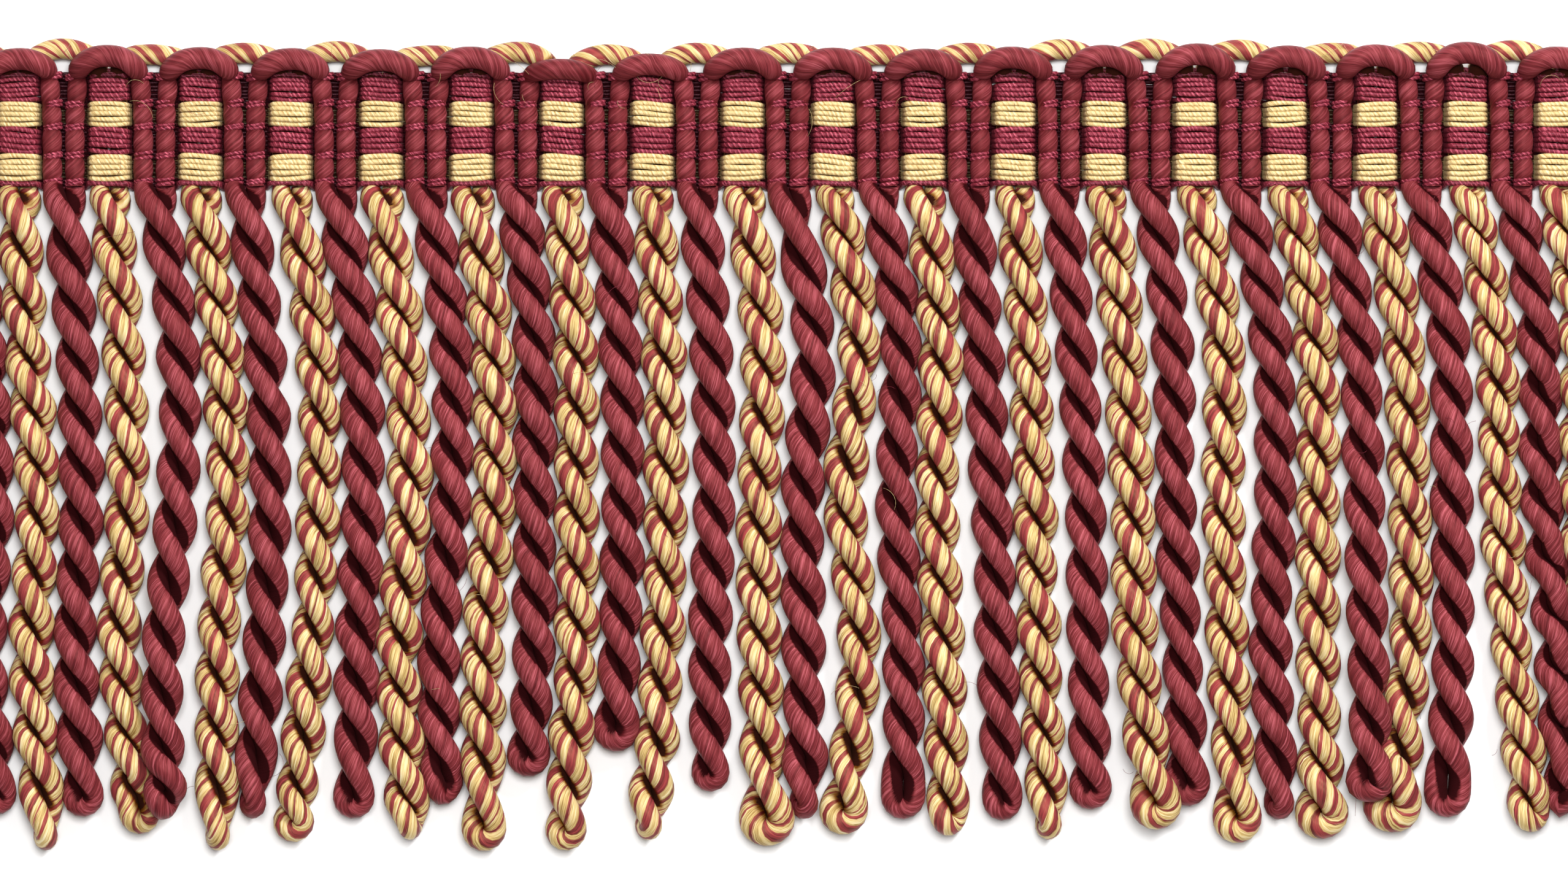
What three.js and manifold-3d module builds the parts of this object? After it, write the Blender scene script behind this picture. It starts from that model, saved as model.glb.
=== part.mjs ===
// Bullion fringe trim, lying face up: two cords loop over a woven heading and hang as twisted strands.
// Millimetres. +X runs along the trim, +Y points from the strands' tips to the arches, +Z is the face.
// The back lies on Z = 0. The origin is at the middle of the length and height.

import * as THREE from 'three';
import { mergeVertices } from 'three/addons/utils/BufferGeometryUtils.js';
import Module from 'manifold-3d';

const wasm = await Module();
wasm.setup();

// Repeat: one arch of the burgundy cord with a pair of gold legs in its middle.
const PITCH = 16.94;
const REPEATS = 19;
const HALF_LENGTH = (PITCH * REPEATS) / 2;

// Clearance between the pieces.
const CLEAR = 0.3;

// Cord in the heading. Its section is a hexagon with a flat below, so it is FLAT times as deep as wide.
const FLAT = Math.sin(Math.PI / 3);
const FOOT = 48.3;
const HEADING_EDGE = 48.6;
const SPRING = 68.5;

// Warp bands: each is a strip that floats over the gold legs and passes behind the burgundy legs.
const BAND_THICK = 1;
const BAND_TURN_INNER = 3.72;
const BAND_TURN_OUTER = 4.4;

// The cords' loops over the top. 'reach' is half the distance between a loop's two legs, 'crest' the
// height of its centre-line, and the radii are half the cord's width in its legs and at its crest.
const GOLD_LEG = 1.75;
const GOLD = {
  reach: PITCH / 2 - GOLD_LEG, crest: 74.4, legRadius: 1.65, crestRadius: 1.8, legDepth: 2.3,
  crestDepth: 1.8 * FLAT,
};
const BURGUNDY = {
  reach: 6.45, crest: 72.55, legRadius: 1.75, crestRadius: 2.1,
  legDepth: BAND_THICK + CLEAR + 1.75 * FLAT,
  crestDepth: 2 * GOLD.crestDepth + 2 * CLEAR + 2.1 * FLAT,
};
const FLOAT_UNDERSIDE = GOLD.legDepth + GOLD.legRadius * FLAT + CLEAR + 0.05;

// Angles round a loop from one leg to the other, in degrees.
const LOOP_TURNS = [0, 35, 65, 90, 115, 145, 180];

// Warp bands, with the heights of their lower and upper edges.
const BANDS = [
  { name: 'warp_band_top', foot: 63.9, head: 68.3, colour: 'burgundy' },
  { name: 'warp_band_upper', foot: 59.1, head: 63.5, colour: 'gold' },
  { name: 'warp_band_lower', foot: 54.5, head: 58.75, colour: 'burgundy' },
  { name: 'warp_band_foot', foot: 49.1, head: 54.1, colour: 'gold' },
];

// A strand is two plies twisted together: a flat bar that turns a fifth of a full turn at each step.
const FULL_TURN = 20.2;
const STEPS_PER_TURN = 5;
const PLIES_HALF_WIDTH = 3.45;
const PLIES_HALF_DEPTH = 1.8;
const STRAND_RADIUS = Math.hypot(PLIES_HALF_WIDTH, PLIES_HALF_DEPTH);
const STEP_TURN = (2 * Math.PI) / STEPS_PER_TURN;
const AXIS_HEIGHT = PLIES_HALF_WIDTH * Math.sin(STEP_TURN) + PLIES_HALF_DEPTH * Math.cos(STEP_TURN);
const ROOT_RISE = 0.5;
const TIP_SCALE = 0.55;

// Strands wander sideways between their root and tip. Columns: how far the axis lies right of the root
// at the three LEVELS and at the tip, and the tip's height. The first row is the leftmost strand.
const LEVELS = [20, -9, -37];
const BURGUNDY_STRANDS = [
  [2.5, 4, 2.5, 5, -69.5],
  [2.5, 3.5, 2, 4, -70],
  [4.5, 4.5, 2, 2, -70],
  [3.5, 5, 3.5, 1.5, -70],
  [4.5, 5.5, 4.5, 3.5, -70],
  [5, 5, 2.5, 3, -67.5],
  [3.5, 3.5, 3.5, 2, -62.5],
  [2.5, 3, 2.5, 1.5, -57.5],
  [2.5, 3, 2.5, 2.5, -65],
  [5, 3, 3, 3, -70],
  [4, 3.5, 4.5, 4.5, -70],
  [2.5, 4, 5.5, 6.5, -70.5],
  [3, 5, 5.5, 6, -68.5],
  [4, 4.5, 6, 7, -68],
  [5.5, 6.5, 5.5, 7.5, -70.5],
  [5, 6, 6.5, 7.5, -67],
  [5, 5.5, 6, 4.5, -70],
  [5, 6, 8.5, 9.5, -70],
  [2.5, 2.5, 3.5, 4, -70],
];
const GOLD_STRANDS = [
  [1.5, 4, 2.5, 5.5, -76],
  [2.5, 3.5, 2, 6.5, -73],
  [4, 5.5, 3.5, 3.5, -76],
  [5, 5.5, 4, 0.5, -74.5],
  [4, 5.5, 3.5, 6, -74],
  [4, 4.5, 2.5, 2.5, -76.2],
  [2.5, 3, 3, 0.5, -76],
  [2, 2.5, 2, -1, -74],
  [4, 3, 3, 5, -75],
  [5, 2, 5, 1.5, -73],
  [3, 2.5, 3.5, 5, -73.5],
  [2.5, 4, 4.5, 6.5, -74],
  [3.5, 5, 5.5, 10, -72],
  [5, 5, 6, 8, -74.5],
  [5.5, 6, 6, 7, -74],
  [5, 6, 6.5, 2, -72.5],
  [5.5, 6, 8, 12.5, -72.5],
  [4.5, 4.5, 6, 6.5, -73],
];

const COLOURS = {
  burgundy: { color: 0x84333f, roughness: 0.55, metalness: 0 },
  gold: { color: 0xc7a85e, roughness: 0.55, metalness: 0 },
};

// Sections: a hexagon one unit in radius for the cord, a bar for a strand.
const HEXAGON = new THREE.Shape(Array.from({ length: 6 }, (_, corner) => {
  const angle = (Math.PI * corner) / 3;
  return new THREE.Vector2(Math.cos(angle), Math.sin(angle));
}));
const BAR = new THREE.Shape([[1, 1], [-1, 1], [-1, -1], [1, -1]].map(([wide, deep]) => (
  new THREE.Vector2(wide * PLIES_HALF_WIDTH, deep * PLIES_HALF_DEPTH))));

// One ring of a sweep: where the section goes, which way it faces, its scale and its turn.
function ring({ x, y, z, along, size, turn = 0 }) {
  const side = new THREE.Vector3(0, 0, 1).cross(along).normalize();
  const up = new THREE.Vector3().crossVectors(along, side);
  return new THREE.Matrix4().makeBasis(side, up, along)
    .multiply(new THREE.Matrix4().makeRotationZ(turn))
    .scale(new THREE.Vector3(size, size, 1))
    .setPosition(x, y, z);
}

// A solid from a closed geometry, its shared corners merged.
function solid(geometry) {
  geometry.deleteAttribute('normal');
  geometry.deleteAttribute('uv');
  const merged = mergeVertices(geometry, 1e-4);
  return new wasm.Manifold(new wasm.Mesh({
    numProp: 3,
    vertProperties: new Float32Array(merged.attributes.position.array),
    triVerts: new Uint32Array(merged.index.array),
  }));
}

// A solid swept through the rings, one step from each to the next.
function sweep(section, rings) {
  const steps = rings.length - 1;
  const geometry = new THREE.ExtrudeGeometry(section, { depth: steps, steps, bevelEnabled: false });
  const corners = geometry.attributes.position;
  const corner = new THREE.Vector3();
  for (let i = 0; i < corners.count; i += 1) {
    corner.fromBufferAttribute(corners, i);
    const place = rings[Math.round(corner.z)];
    corner.setZ(0).applyMatrix4(place);
    corners.setXYZ(i, corner.x, corner.y, corner.z);
  }
  return solid(geometry);
}

// The rings of one cord's loop round 'middle', from its left leg's foot to its right leg's foot.
function loopRings(cord, middle, turns, feet) {
  const rise = cord.crest - SPRING;
  const arch = turns.map((degrees) => {
    const angle = THREE.MathUtils.degToRad(degrees);
    const lift = THREE.MathUtils.smoothstep(Math.sin(angle), 0, Math.sin(Math.PI / 6));
    return ring({
      x: middle - cord.reach * Math.cos(angle),
      y: SPRING + rise * Math.sin(angle),
      z: THREE.MathUtils.lerp(cord.legDepth, cord.crestDepth, lift),
      along: new THREE.Vector3(cord.reach * Math.sin(angle), rise * Math.cos(angle), 0).normalize(),
      size: THREE.MathUtils.lerp(cord.legRadius, cord.crestRadius, lift),
    });
  });
  const leg = (sideways, foot) => ring({
    x: middle + sideways * cord.reach, y: foot, z: cord.legDepth,
    along: new THREE.Vector3(0, -sideways, 0), size: cord.legRadius,
  });
  if (feet.left) arch.unshift(leg(-1, feet.left));
  if (feet.right) arch.push(leg(1, feet.right));
  return arch;
}

// Strands in order along the trim. They alternate, and the outermost are burgundy.
const strands = Array.from({ length: 2 * REPEATS - 1 }, (_, place) => {
  const burgundy = place % 2 === 0;
  const { legDepth } = burgundy ? BURGUNDY : GOLD;
  const rows = burgundy ? BURGUNDY_STRANDS : GOLD_STRANDS;
  const [high, middle, low, end, tip] = rows[Math.floor(place / 2)];
  const root = (place + 1) * (PITCH / 2) - HALF_LENGTH;
  const depths = [HEADING_EDGE, ...LEVELS, tip].map((height) => HEADING_EDGE - height);
  const sway = new THREE.CubicInterpolant(depths, [0, high, middle, low, end], 1);
  const axisAt = (height) => root + sway.evaluate(HEADING_EDGE - height)[0];
  return { burgundy, legDepth, tip, axisAt };
});

// A strand's scale at a height: one, or less where its neighbours crowd it.
function scaleAt(place, height) {
  const here = strands[place].axisAt(height);
  const room = [strands[place - 1], strands[place + 1]]
    .filter((other) => other && height > other.tip - FULL_TURN / STEPS_PER_TURN)
    .map((other) => Math.abs(other.axisAt(Math.max(height, other.tip)) - here) / 2 - CLEAR);
  return Math.min(1, ...room.map((radius) => radius / STRAND_RADIUS));
}

// One strand, from its legs at the heading's lower edge to its tip, its lowest corners on the surface.
function strand(place) {
  const { tip, axisAt, legDepth } = strands[place];
  const length = HEADING_EDGE - tip;
  const steps = Math.round((length / FULL_TURN) * STEPS_PER_TURN);
  const rings = Array.from({ length: steps + 1 }, (_, step) => {
    const height = HEADING_EDGE - (length * step) / steps;
    const size = scaleAt(place, height) * (step === steps ? TIP_SCALE : 1);
    return ring({
      x: axisAt(height), y: height, z: step === 0 ? legDepth + ROOT_RISE : size * AXIS_HEIGHT,
      along: new THREE.Vector3(0, -1, 0), size, turn: -STEP_TURN * step,
    });
  });
  return sweep(BAR, rings);
}

const joined = (solids) => solids.reduce((whole, piece) => whole.add(piece));

// Burgundy cord: an arch over each gold column, half an arch at each end, and its strands.
function burgundyCord() {
  const loops = Array.from({ length: REPEATS + 1 }, (_, arch) => {
    const first = arch === 0;
    const last = arch === REPEATS;
    const turns = LOOP_TURNS.filter((degrees) => (!first || degrees >= 90) && (!last || degrees <= 90));
    return sweep(HEXAGON, loopRings(BURGUNDY, arch * PITCH - HALF_LENGTH, turns, {
      left: first ? 0 : FOOT,
      right: last ? 0 : FOOT,
    }));
  });
  const hanging = strands.flatMap(({ burgundy }, place) => (burgundy ? [strand(place)] : []));
  return joined([...loops, ...hanging]);
}

// Gold cord: an arch over each burgundy strand's root, and its strands. The outermost legs hang alone.
function goldCord() {
  const loops = Array.from({ length: REPEATS }, (_, arch) => sweep(
    HEXAGON,
    loopRings(GOLD, (arch + 0.5) * PITCH - HALF_LENGTH, LOOP_TURNS, {
      left: arch === 0 ? HEADING_EDGE : FOOT,
      right: arch === REPEATS - 1 ? HEADING_EDGE : FOOT,
    }),
  ));
  const hanging = strands.flatMap(({ burgundy }, place) => (burgundy ? [] : [strand(place)]));
  return joined([...loops, ...hanging]);
}

// A warp band: a strip that rises in front of each gold column and drops behind the legs between.
function warpBand({ foot, head }) {
  const columns = Array.from({ length: REPEATS + 1 }, (_, column) => column * PITCH - HALF_LENGTH);
  const line = (turn, back, front) => columns.flatMap((x) => [
    [x - turn, back], [x - turn, front], [x + turn, front], [x + turn, back],
  ]).filter(([x]) => Math.abs(x) < HALF_LENGTH);
  const under = line(BAND_TURN_INNER, 0, FLOAT_UNDERSIDE);
  const over = line(BAND_TURN_OUTER, BAND_THICK, FLOAT_UNDERSIDE + BAND_THICK);
  const outline = [
    [-HALF_LENGTH, FLOAT_UNDERSIDE], ...under, [HALF_LENGTH, FLOAT_UNDERSIDE],
    [HALF_LENGTH, FLOAT_UNDERSIDE + BAND_THICK], ...over.reverse(),
    [-HALF_LENGTH, FLOAT_UNDERSIDE + BAND_THICK],
  ];
  const shape = new THREE.Shape(outline.map(([x, z]) => new THREE.Vector2(x, z)));
  const geometry = new THREE.ExtrudeGeometry(shape, { depth: head - foot, bevelEnabled: false });
  return solid(geometry.rotateX(Math.PI / 2).translate(0, head, 0));
}

// A named mesh of a solid, in one of the two colours.
function mesh(name, whole, colour) {
  const { vertProperties, triVerts } = whole.getMesh();
  const geometry = new THREE.BufferGeometry();
  geometry.setAttribute('position', new THREE.BufferAttribute(vertProperties, 3));
  geometry.setIndex(new THREE.BufferAttribute(triVerts, 1));
  geometry.computeVertexNormals();
  const piece = new THREE.Mesh(geometry, new THREE.MeshStandardMaterial(COLOURS[colour]));
  piece.name = name;
  return piece;
}

const group = new THREE.Group();
group.add(mesh('burgundy_cord', burgundyCord(), 'burgundy'));
group.add(mesh('gold_cord', goldCord(), 'gold'));
for (const band of BANDS) group.add(mesh(band.name, warpBand(band), band.colour));

export default group;
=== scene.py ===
"""Bullion fringe trim, laid flat and face up on a pale floor.

Two cords are looped through a woven heading, and below it their legs are twisted into strands.
Sizes are in millimetres until a mesh is made. The meshes are in metres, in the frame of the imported
solids: +X along the trim, +Y from the strands' tips to the arches, +Z out of its face.
"""

import logging
import math
from dataclasses import dataclass
from enum import Enum

import bpy
import numpy as np
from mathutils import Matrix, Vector, kdtree


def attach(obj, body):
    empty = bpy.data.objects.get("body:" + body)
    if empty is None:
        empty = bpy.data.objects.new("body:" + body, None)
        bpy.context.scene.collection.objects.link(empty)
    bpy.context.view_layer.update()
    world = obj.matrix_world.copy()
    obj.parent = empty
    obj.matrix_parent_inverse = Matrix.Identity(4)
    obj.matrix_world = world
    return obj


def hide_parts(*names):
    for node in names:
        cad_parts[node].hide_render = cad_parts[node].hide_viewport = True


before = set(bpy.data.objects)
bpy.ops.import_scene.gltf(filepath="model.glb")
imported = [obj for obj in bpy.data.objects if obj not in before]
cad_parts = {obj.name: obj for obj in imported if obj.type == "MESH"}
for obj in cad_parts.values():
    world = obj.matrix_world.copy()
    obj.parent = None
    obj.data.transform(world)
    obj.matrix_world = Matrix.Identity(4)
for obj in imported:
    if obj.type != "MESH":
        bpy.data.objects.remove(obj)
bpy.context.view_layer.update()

LOG = logging.getLogger("bullion_fringe")

MM = 0.001
PITCH = 16.94  # from one strand to the next of its colour
HALF_LENGTH = 160.93  # nine and a half pitches
ARCHES = 20  # burgundy ones, two of them cut in half by the trim's ends
FOOT = 48.4  # the heading's lower edge
SPRING = 68.5  # where the arches spring from their legs
FINE_STEP = 0.45  # between a cord's points while its shape is worked out
PIXELS_PER_MM = 8.714
PHOTO_WIDTH = 2556  # pixels


def burgundy_root(strand: int) -> float:
    """X of a burgundy strand's middle at the heading's foot."""
    return (strand - 9) * PITCH


def gold_root(strand: int) -> float:
    """X of a gold strand's middle at the heading's foot."""
    return (strand - 8.5) * PITCH


# ------------------------------------------------------------------ curves and runs of cord


def through(knots: list[float], values: list[float], at: np.ndarray) -> np.ndarray:
    """A smooth curve through a few readings.

    Args:
        knots: where the readings were taken, rising.
        values: the readings.
        at: where the curve is wanted.

    Returns:
        The curve's value at each place, held level outside the knots.
    """
    x, y = np.asarray(knots, float), np.asarray(values, float)
    steps = np.diff(x)
    slopes = np.diff(y) / steps
    inner = (slopes[:-1] * steps[1:] + slopes[1:] * steps[:-1]) / (steps[:-1] + steps[1:])
    m = np.concatenate([[slopes[0]], inner, [slopes[-1]]])
    at = np.clip(at, x[0], x[-1])
    k = np.clip(np.searchsorted(x, at, side="right") - 1, 0, len(steps) - 1)
    h = steps[k]
    t = (at - x[k]) / h
    return (
        (2 * t**3 - 3 * t**2 + 1) * y[k]
        + (t**3 - 2 * t**2 + t) * h * m[k]
        + (3 * t**2 - 2 * t**3) * y[k + 1]
        + (t**3 - t**2) * h * m[k + 1]
    )


def ease(t: np.ndarray | float) -> np.ndarray:
    """0 to 1 with a level start and end."""
    t = np.clip(t, 0, 1)
    return t * t * (3 - 2 * t)


def smoothed(values: np.ndarray, rounds: int) -> np.ndarray:
    """Evens out values along a run, and keeps its ends.

    Args:
        values: one number or one point for each place on the run.
        rounds: how often each value is mixed with its neighbours.

    Returns:
        The evened values.
    """
    out = values.astype(float).copy()
    for _ in range(rounds):
        out[1:-1] = 0.25 * out[:-2] + 0.5 * out[1:-1] + 0.25 * out[2:]
    return out


Span = tuple[float, float]


def ripple(rng: np.random.Generator, at: np.ndarray, size: Span, length: Span, waves: int) -> np.ndarray:
    """A few random waves added up.

    Args:
        rng: where the random numbers come from.
        at: the places where the waves are wanted.
        size: the least and most height of a wave.
        length: the least and most length of a wave, divided by a full turn in radians.
        waves: how many waves.

    Returns:
        Their sum at each place.
    """
    return sum(
        rng.uniform(*size) * np.sin(at / rng.uniform(*length) + rng.uniform(0, 6)) for _ in range(waves)
    )


def upward(shade_strength: np.ndarray) -> np.ndarray:
    """Arrows that point up, each as long as the painted shade is strong at its place."""
    return np.stack([0 * shade_strength, 0 * shade_strength, shade_strength], axis=1)


@dataclass
class Run:
    """A stretch of cord or yarn: points down its middle, and its radius at each."""

    points: np.ndarray
    radius: np.ndarray
    held: np.ndarray | None = None
    # Arrow of painted shade at each point: faces that look along it are painted darker, the more the longer
    # it is.
    painted_shade_arrow: np.ndarray | None = None
    lay_start: float = 0.0
    tone: float = 0.0

    def lengths(self) -> np.ndarray:
        """Distance along the run at each point."""
        return np.concatenate([[0.0], np.cumsum(np.linalg.norm(np.diff(self.points, axis=0), axis=1))])

    def spaced(self, step: float) -> "Run":
        """The same run with its points an even step apart.

        Args:
            step: the step wanted, rounded so that it fits the run.

        Returns:
            A new run.
        """
        along = self.lengths()
        at = np.linspace(0, along[-1], max(3, round(along[-1] / step) + 1))

        def moved(values: np.ndarray | None) -> np.ndarray | None:
            """The values at the new points, where there are any."""
            columns = [] if values is None else [np.interp(at, along, v) for v in np.atleast_2d(values.T)]
            return np.squeeze(np.stack(columns, axis=1)) if columns else None

        carried = [moved(values) for values in (self.points, self.radius, self.held, self.painted_shade_arrow)]
        return Run(*carried, self.lay_start, self.tone)


# ------------------------------------------------------------------ node trees


class NodeKit:
    """Adds nodes to one tree and joins them."""

    def __init__(self, tree: bpy.types.NodeTree) -> None:
        """Starts with a tree.

        Args:
            tree: the tree that the nodes go into.
        """
        self.tree = tree
        self.column = 0

    def add(self, kind: str, feeds: dict | None = None, **settings: object) -> bpy.types.Node:
        """Adds a node, sets it up and feeds its sockets.

        Args:
            kind: the node's type name.
            feeds: for each socket's name or number, a value or the output that feeds it.
            settings: the node's own properties.

        Returns:
            The new node.
        """
        node = self.tree.nodes.new(kind)
        self.column += 1
        node.location = (self.column * 180, 0)
        for name, value in settings.items():
            setattr(node, name, value)
        for key, value in (feeds or {}).items():
            socket = node.inputs[key]
            if isinstance(value, bpy.types.NodeSocket):
                self.tree.links.new(value, socket)
            else:
                socket.default_value = value
        return node

    def math(self, operation: str, *terms: object) -> bpy.types.NodeSocket:
        """One step of arithmetic on numbers or outputs."""
        return self.add("ShaderNodeMath", dict(enumerate(terms)), operation=operation).outputs[0]

    def blend(self, factor: object, low: object, high: object, way: str = "MIX") -> bpy.types.NodeSocket:
        """A colour between two colours, or one multiplied by the other."""
        node = self.add("ShaderNodeMix", {0: factor, 6: low, 7: high}, data_type="RGBA", blend_type=way)
        return node.outputs[2]

    def spread(
        self, value: object, low: float, high: float, to_low: float, to_high: float
    ) -> bpy.types.NodeSocket:
        """Maps one range of a value to another, clamped."""
        feeds = {0: value, 1: low, 2: high, 3: to_low, 4: to_high}
        return self.add("ShaderNodeMapRange", feeds).outputs[0]


class SweepTree:
    """Geometry nodes that lay a round cord along each path of a mesh."""

    SIDES = "Sides around"
    ROWS = "Runs side by side on the map"
    MATERIAL = "Finish"

    def __init__(self) -> None:
        """Builds the tree and keeps its inputs' identifiers."""
        self.tree = bpy.data.node_groups.new("cord_along_a_path", "GeometryNodeTree")
        face = self.tree.interface
        face.new_socket("Paths", in_out="INPUT", socket_type="NodeSocketGeometry")
        self.inputs = {}
        for name, kind in ((self.SIDES, "Int"), (self.ROWS, "Float"), (self.MATERIAL, "Material")):
            socket = face.new_socket(name, in_out="INPUT", socket_type=f"NodeSocket{kind}")
            self.inputs[name] = socket.identifier
        face.new_socket("Cords", in_out="OUTPUT", socket_type="NodeSocketGeometry")
        self._fill(NodeKit(self.tree))

    def _fill(self, kit: NodeKit) -> None:
        """Adds the nodes: paths to curves, a ring along each, its map, and the finish.

        Args:
            kit: the tree's own kit.
        """
        given = kit.add("NodeGroupInput")
        sides = given.outputs[self.SIDES]
        curves = kit.add("GeometryNodeMeshToCurve", {"Mesh": given.outputs["Paths"]})
        ring = kit.add("GeometryNodeCurvePrimitiveCircle", {"Resolution": sides, "Radius": 1.0})
        place = kit.add("GeometryNodeInputIndex")
        mark = kit.add("GeometryNodeCaptureAttribute", domain="POINT")
        mark.capture_items.new("FLOAT", "Around")
        kit.tree.links.new(ring.outputs["Curve"], mark.inputs[0])
        share = kit.math("DIVIDE", place.outputs[0], sides)
        kit.tree.links.new(share, mark.inputs["Around"])
        sweep = kit.add(
            "GeometryNodeCurveToMesh",
            {
                "Curve": curves.outputs["Curve"],
                "Profile Curve": mark.outputs[0],
                "Scale": self._read(kit, "thickness"),
                "Fill Caps": True,
            },
        )
        around = mark.outputs["Around"]
        middle = kit.add("GeometryNodeFieldOnDomain", {0: around}, domain="FACE", data_type="FLOAT")
        wraps = kit.math("LESS_THAN", kit.math("SUBTRACT", around, middle.outputs[0]), -0.25)
        turn = kit.math("ADD", around, wraps)
        body = self._store(kit, sweep.outputs["Mesh"], "cord_uv", turn, self._read(kit, "along"))
        column = kit.math("ADD", self._read(kit, "row"), kit.math("MULTIPLY_ADD", turn, 0.92, 0.04))
        column = kit.math("DIVIDE", column, given.outputs[self.ROWS])
        climb = kit.math("MULTIPLY_ADD", self._read(kit, "span"), 0.98, 0.01)
        body = self._store(kit, body, "OFBake", column, climb)
        # Mask of painted shade: how far each face looks along the arrow of painted shade that its path
        # carries.
        normal = kit.add("GeometryNodeInputNormal").outputs[0]
        painted_shade_arrow = self._read(kit, "painted_shade_arrow", "FLOAT_VECTOR")
        facing = kit.add("ShaderNodeVectorMath", {0: normal, 1: painted_shade_arrow}, operation="DOT_PRODUCT")
        body = kit.add(
            "GeometryNodeStoreNamedAttribute",
            {"Geometry": body, "Name": "painted_shade", "Value": facing.outputs["Value"]},
            data_type="FLOAT",
            domain="POINT",
        ).outputs[0]
        body = kit.add("GeometryNodeSetShadeSmooth", {"Geometry": body}, domain="FACE").outputs[0]
        body = kit.add("GeometryNodeRealizeInstances", {"Geometry": body}).outputs[0]
        finish = given.outputs[self.MATERIAL]
        body = kit.add("GeometryNodeSetMaterial", {"Geometry": body, "Material": finish}).outputs[0]
        kit.add("NodeGroupOutput", {0: body})

    @staticmethod
    def _read(kit: NodeKit, name: str, kind: str = "FLOAT") -> bpy.types.NodeSocket:
        """What the paths carry at each point under a name."""
        return kit.add("GeometryNodeInputNamedAttribute", {"Name": name}, data_type=kind).outputs["Attribute"]

    @staticmethod
    def _store(
        kit: NodeKit,
        body: bpy.types.NodeSocket,
        name: str,
        x: bpy.types.NodeSocket,
        y: bpy.types.NodeSocket,
    ) -> bpy.types.NodeSocket:
        """Keeps two numbers at each face corner as a map.

        Args:
            kit: the tree's own kit.
            body: the geometry that the map goes on.
            name: the map's name.
            x: the map's first number.
            y: its second number.

        Returns:
            The geometry with the map.
        """
        pair = kit.add("ShaderNodeCombineXYZ", {0: x, 1: y})
        store = kit.add("GeometryNodeStoreNamedAttribute", data_type="FLOAT2", domain="CORNER")
        store.inputs["Name"].default_value = name
        kit.tree.links.new(body, store.inputs["Geometry"])
        kit.tree.links.new(pair.outputs[0], store.inputs["Value"])
        return store.outputs["Geometry"]

    def make(self, name: str, runs: list[Run], sides: int, finish: bpy.types.Material) -> bpy.types.Object:
        """Makes one piece from runs of cord.

        Args:
            name: the piece's name.
            runs: the cords' runs.
            sides: flats around each cord.
            finish: the cords' material.

        Returns:
            The piece, a plain mesh at the origin.
        """
        carrier = bpy.data.objects.new(f"{name}_paths", self._paths(name, runs))
        bpy.context.scene.collection.objects.link(carrier)
        modifier = carrier.modifiers.new("sweep", "NODES")
        modifier.node_group = self.tree
        modifier[self.inputs[self.SIDES]] = sides
        modifier[self.inputs[self.ROWS]] = float(len(runs))
        modifier[self.inputs[self.MATERIAL]] = finish
        depsgraph = bpy.context.evaluated_depsgraph_get()
        mesh = bpy.data.meshes.new_from_object(
            carrier.evaluated_get(depsgraph), preserve_all_data_layers=True, depsgraph=depsgraph
        )
        carrier.modifiers.remove(modifier)
        bpy.data.objects.remove(carrier)
        mesh.name = name
        for spare in ("thickness", "along", "row", "span", "painted_shade_arrow"):
            if spare in mesh.attributes:
                mesh.attributes.remove(mesh.attributes[spare])
        piece = bpy.data.objects.new(name, mesh)
        bpy.context.scene.collection.objects.link(piece)
        triangles = sum(len(face.vertices) - 2 for face in mesh.polygons)
        LOG.info("%s: %d runs, %d triangles", name, len(runs), triangles)
        return piece

    @staticmethod
    def _paths(name: str, runs: list[Run]) -> bpy.types.Mesh:
        """Makes one mesh of points and edges from the runs, with what the tree reads at each point.

        Args:
            name: the piece's name.
            runs: the cords' runs.

        Returns:
            The mesh, in metres.
        """
        mesh = bpy.data.meshes.new(f"{name}_paths")
        points = np.concatenate([run.points for run in runs]) * MM
        starts = np.cumsum([0] + [len(run.points) for run in runs])
        edges = [(i, i + 1) for a, b in zip(starts[:-1], starts[1:]) for i in range(a, b - 1)]
        mesh.from_pydata(points.tolist(), edges, [])
        lengths = [run.lengths() for run in runs]
        carried = {
            "thickness": np.concatenate([run.radius for run in runs]) * MM,
            "along": np.concatenate([run.lay_start + far for run, far in zip(runs, lengths)]),
            "span": np.concatenate([far / far[-1] for far in lengths]),
            "row": np.concatenate([np.full(len(run.points), float(k)) for k, run in enumerate(runs)]),
            "tone": np.concatenate([np.full(len(run.points), run.tone) for run in runs]),
        }
        for key, values in carried.items():
            mesh.attributes.new(key, "FLOAT", "POINT").data.foreach_set("value", values.astype(np.float32))
        painted_shade_arrow = [np.zeros((len(run.points), 3)) if run.painted_shade_arrow is None else run.painted_shade_arrow for run in runs]
        ways = mesh.attributes.new("painted_shade_arrow", "FLOAT_VECTOR", "POINT")
        ways.data.foreach_set("vector", np.concatenate(painted_shade_arrow).astype(np.float32).ravel())
        return mesh


# ------------------------------------------------------------------ finishes

Colour = tuple[float, float, float]


def linear(colour: Colour) -> tuple[float, float, float, float]:
    """A display colour of 0 to 255 a channel as the linear colour a shader takes."""
    parts = [c / 255 for c in colour]
    return (*(c / 12.92 if c <= 0.04045 else ((c + 0.055) / 1.055) ** 2.4 for c in parts), 1.0)


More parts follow.
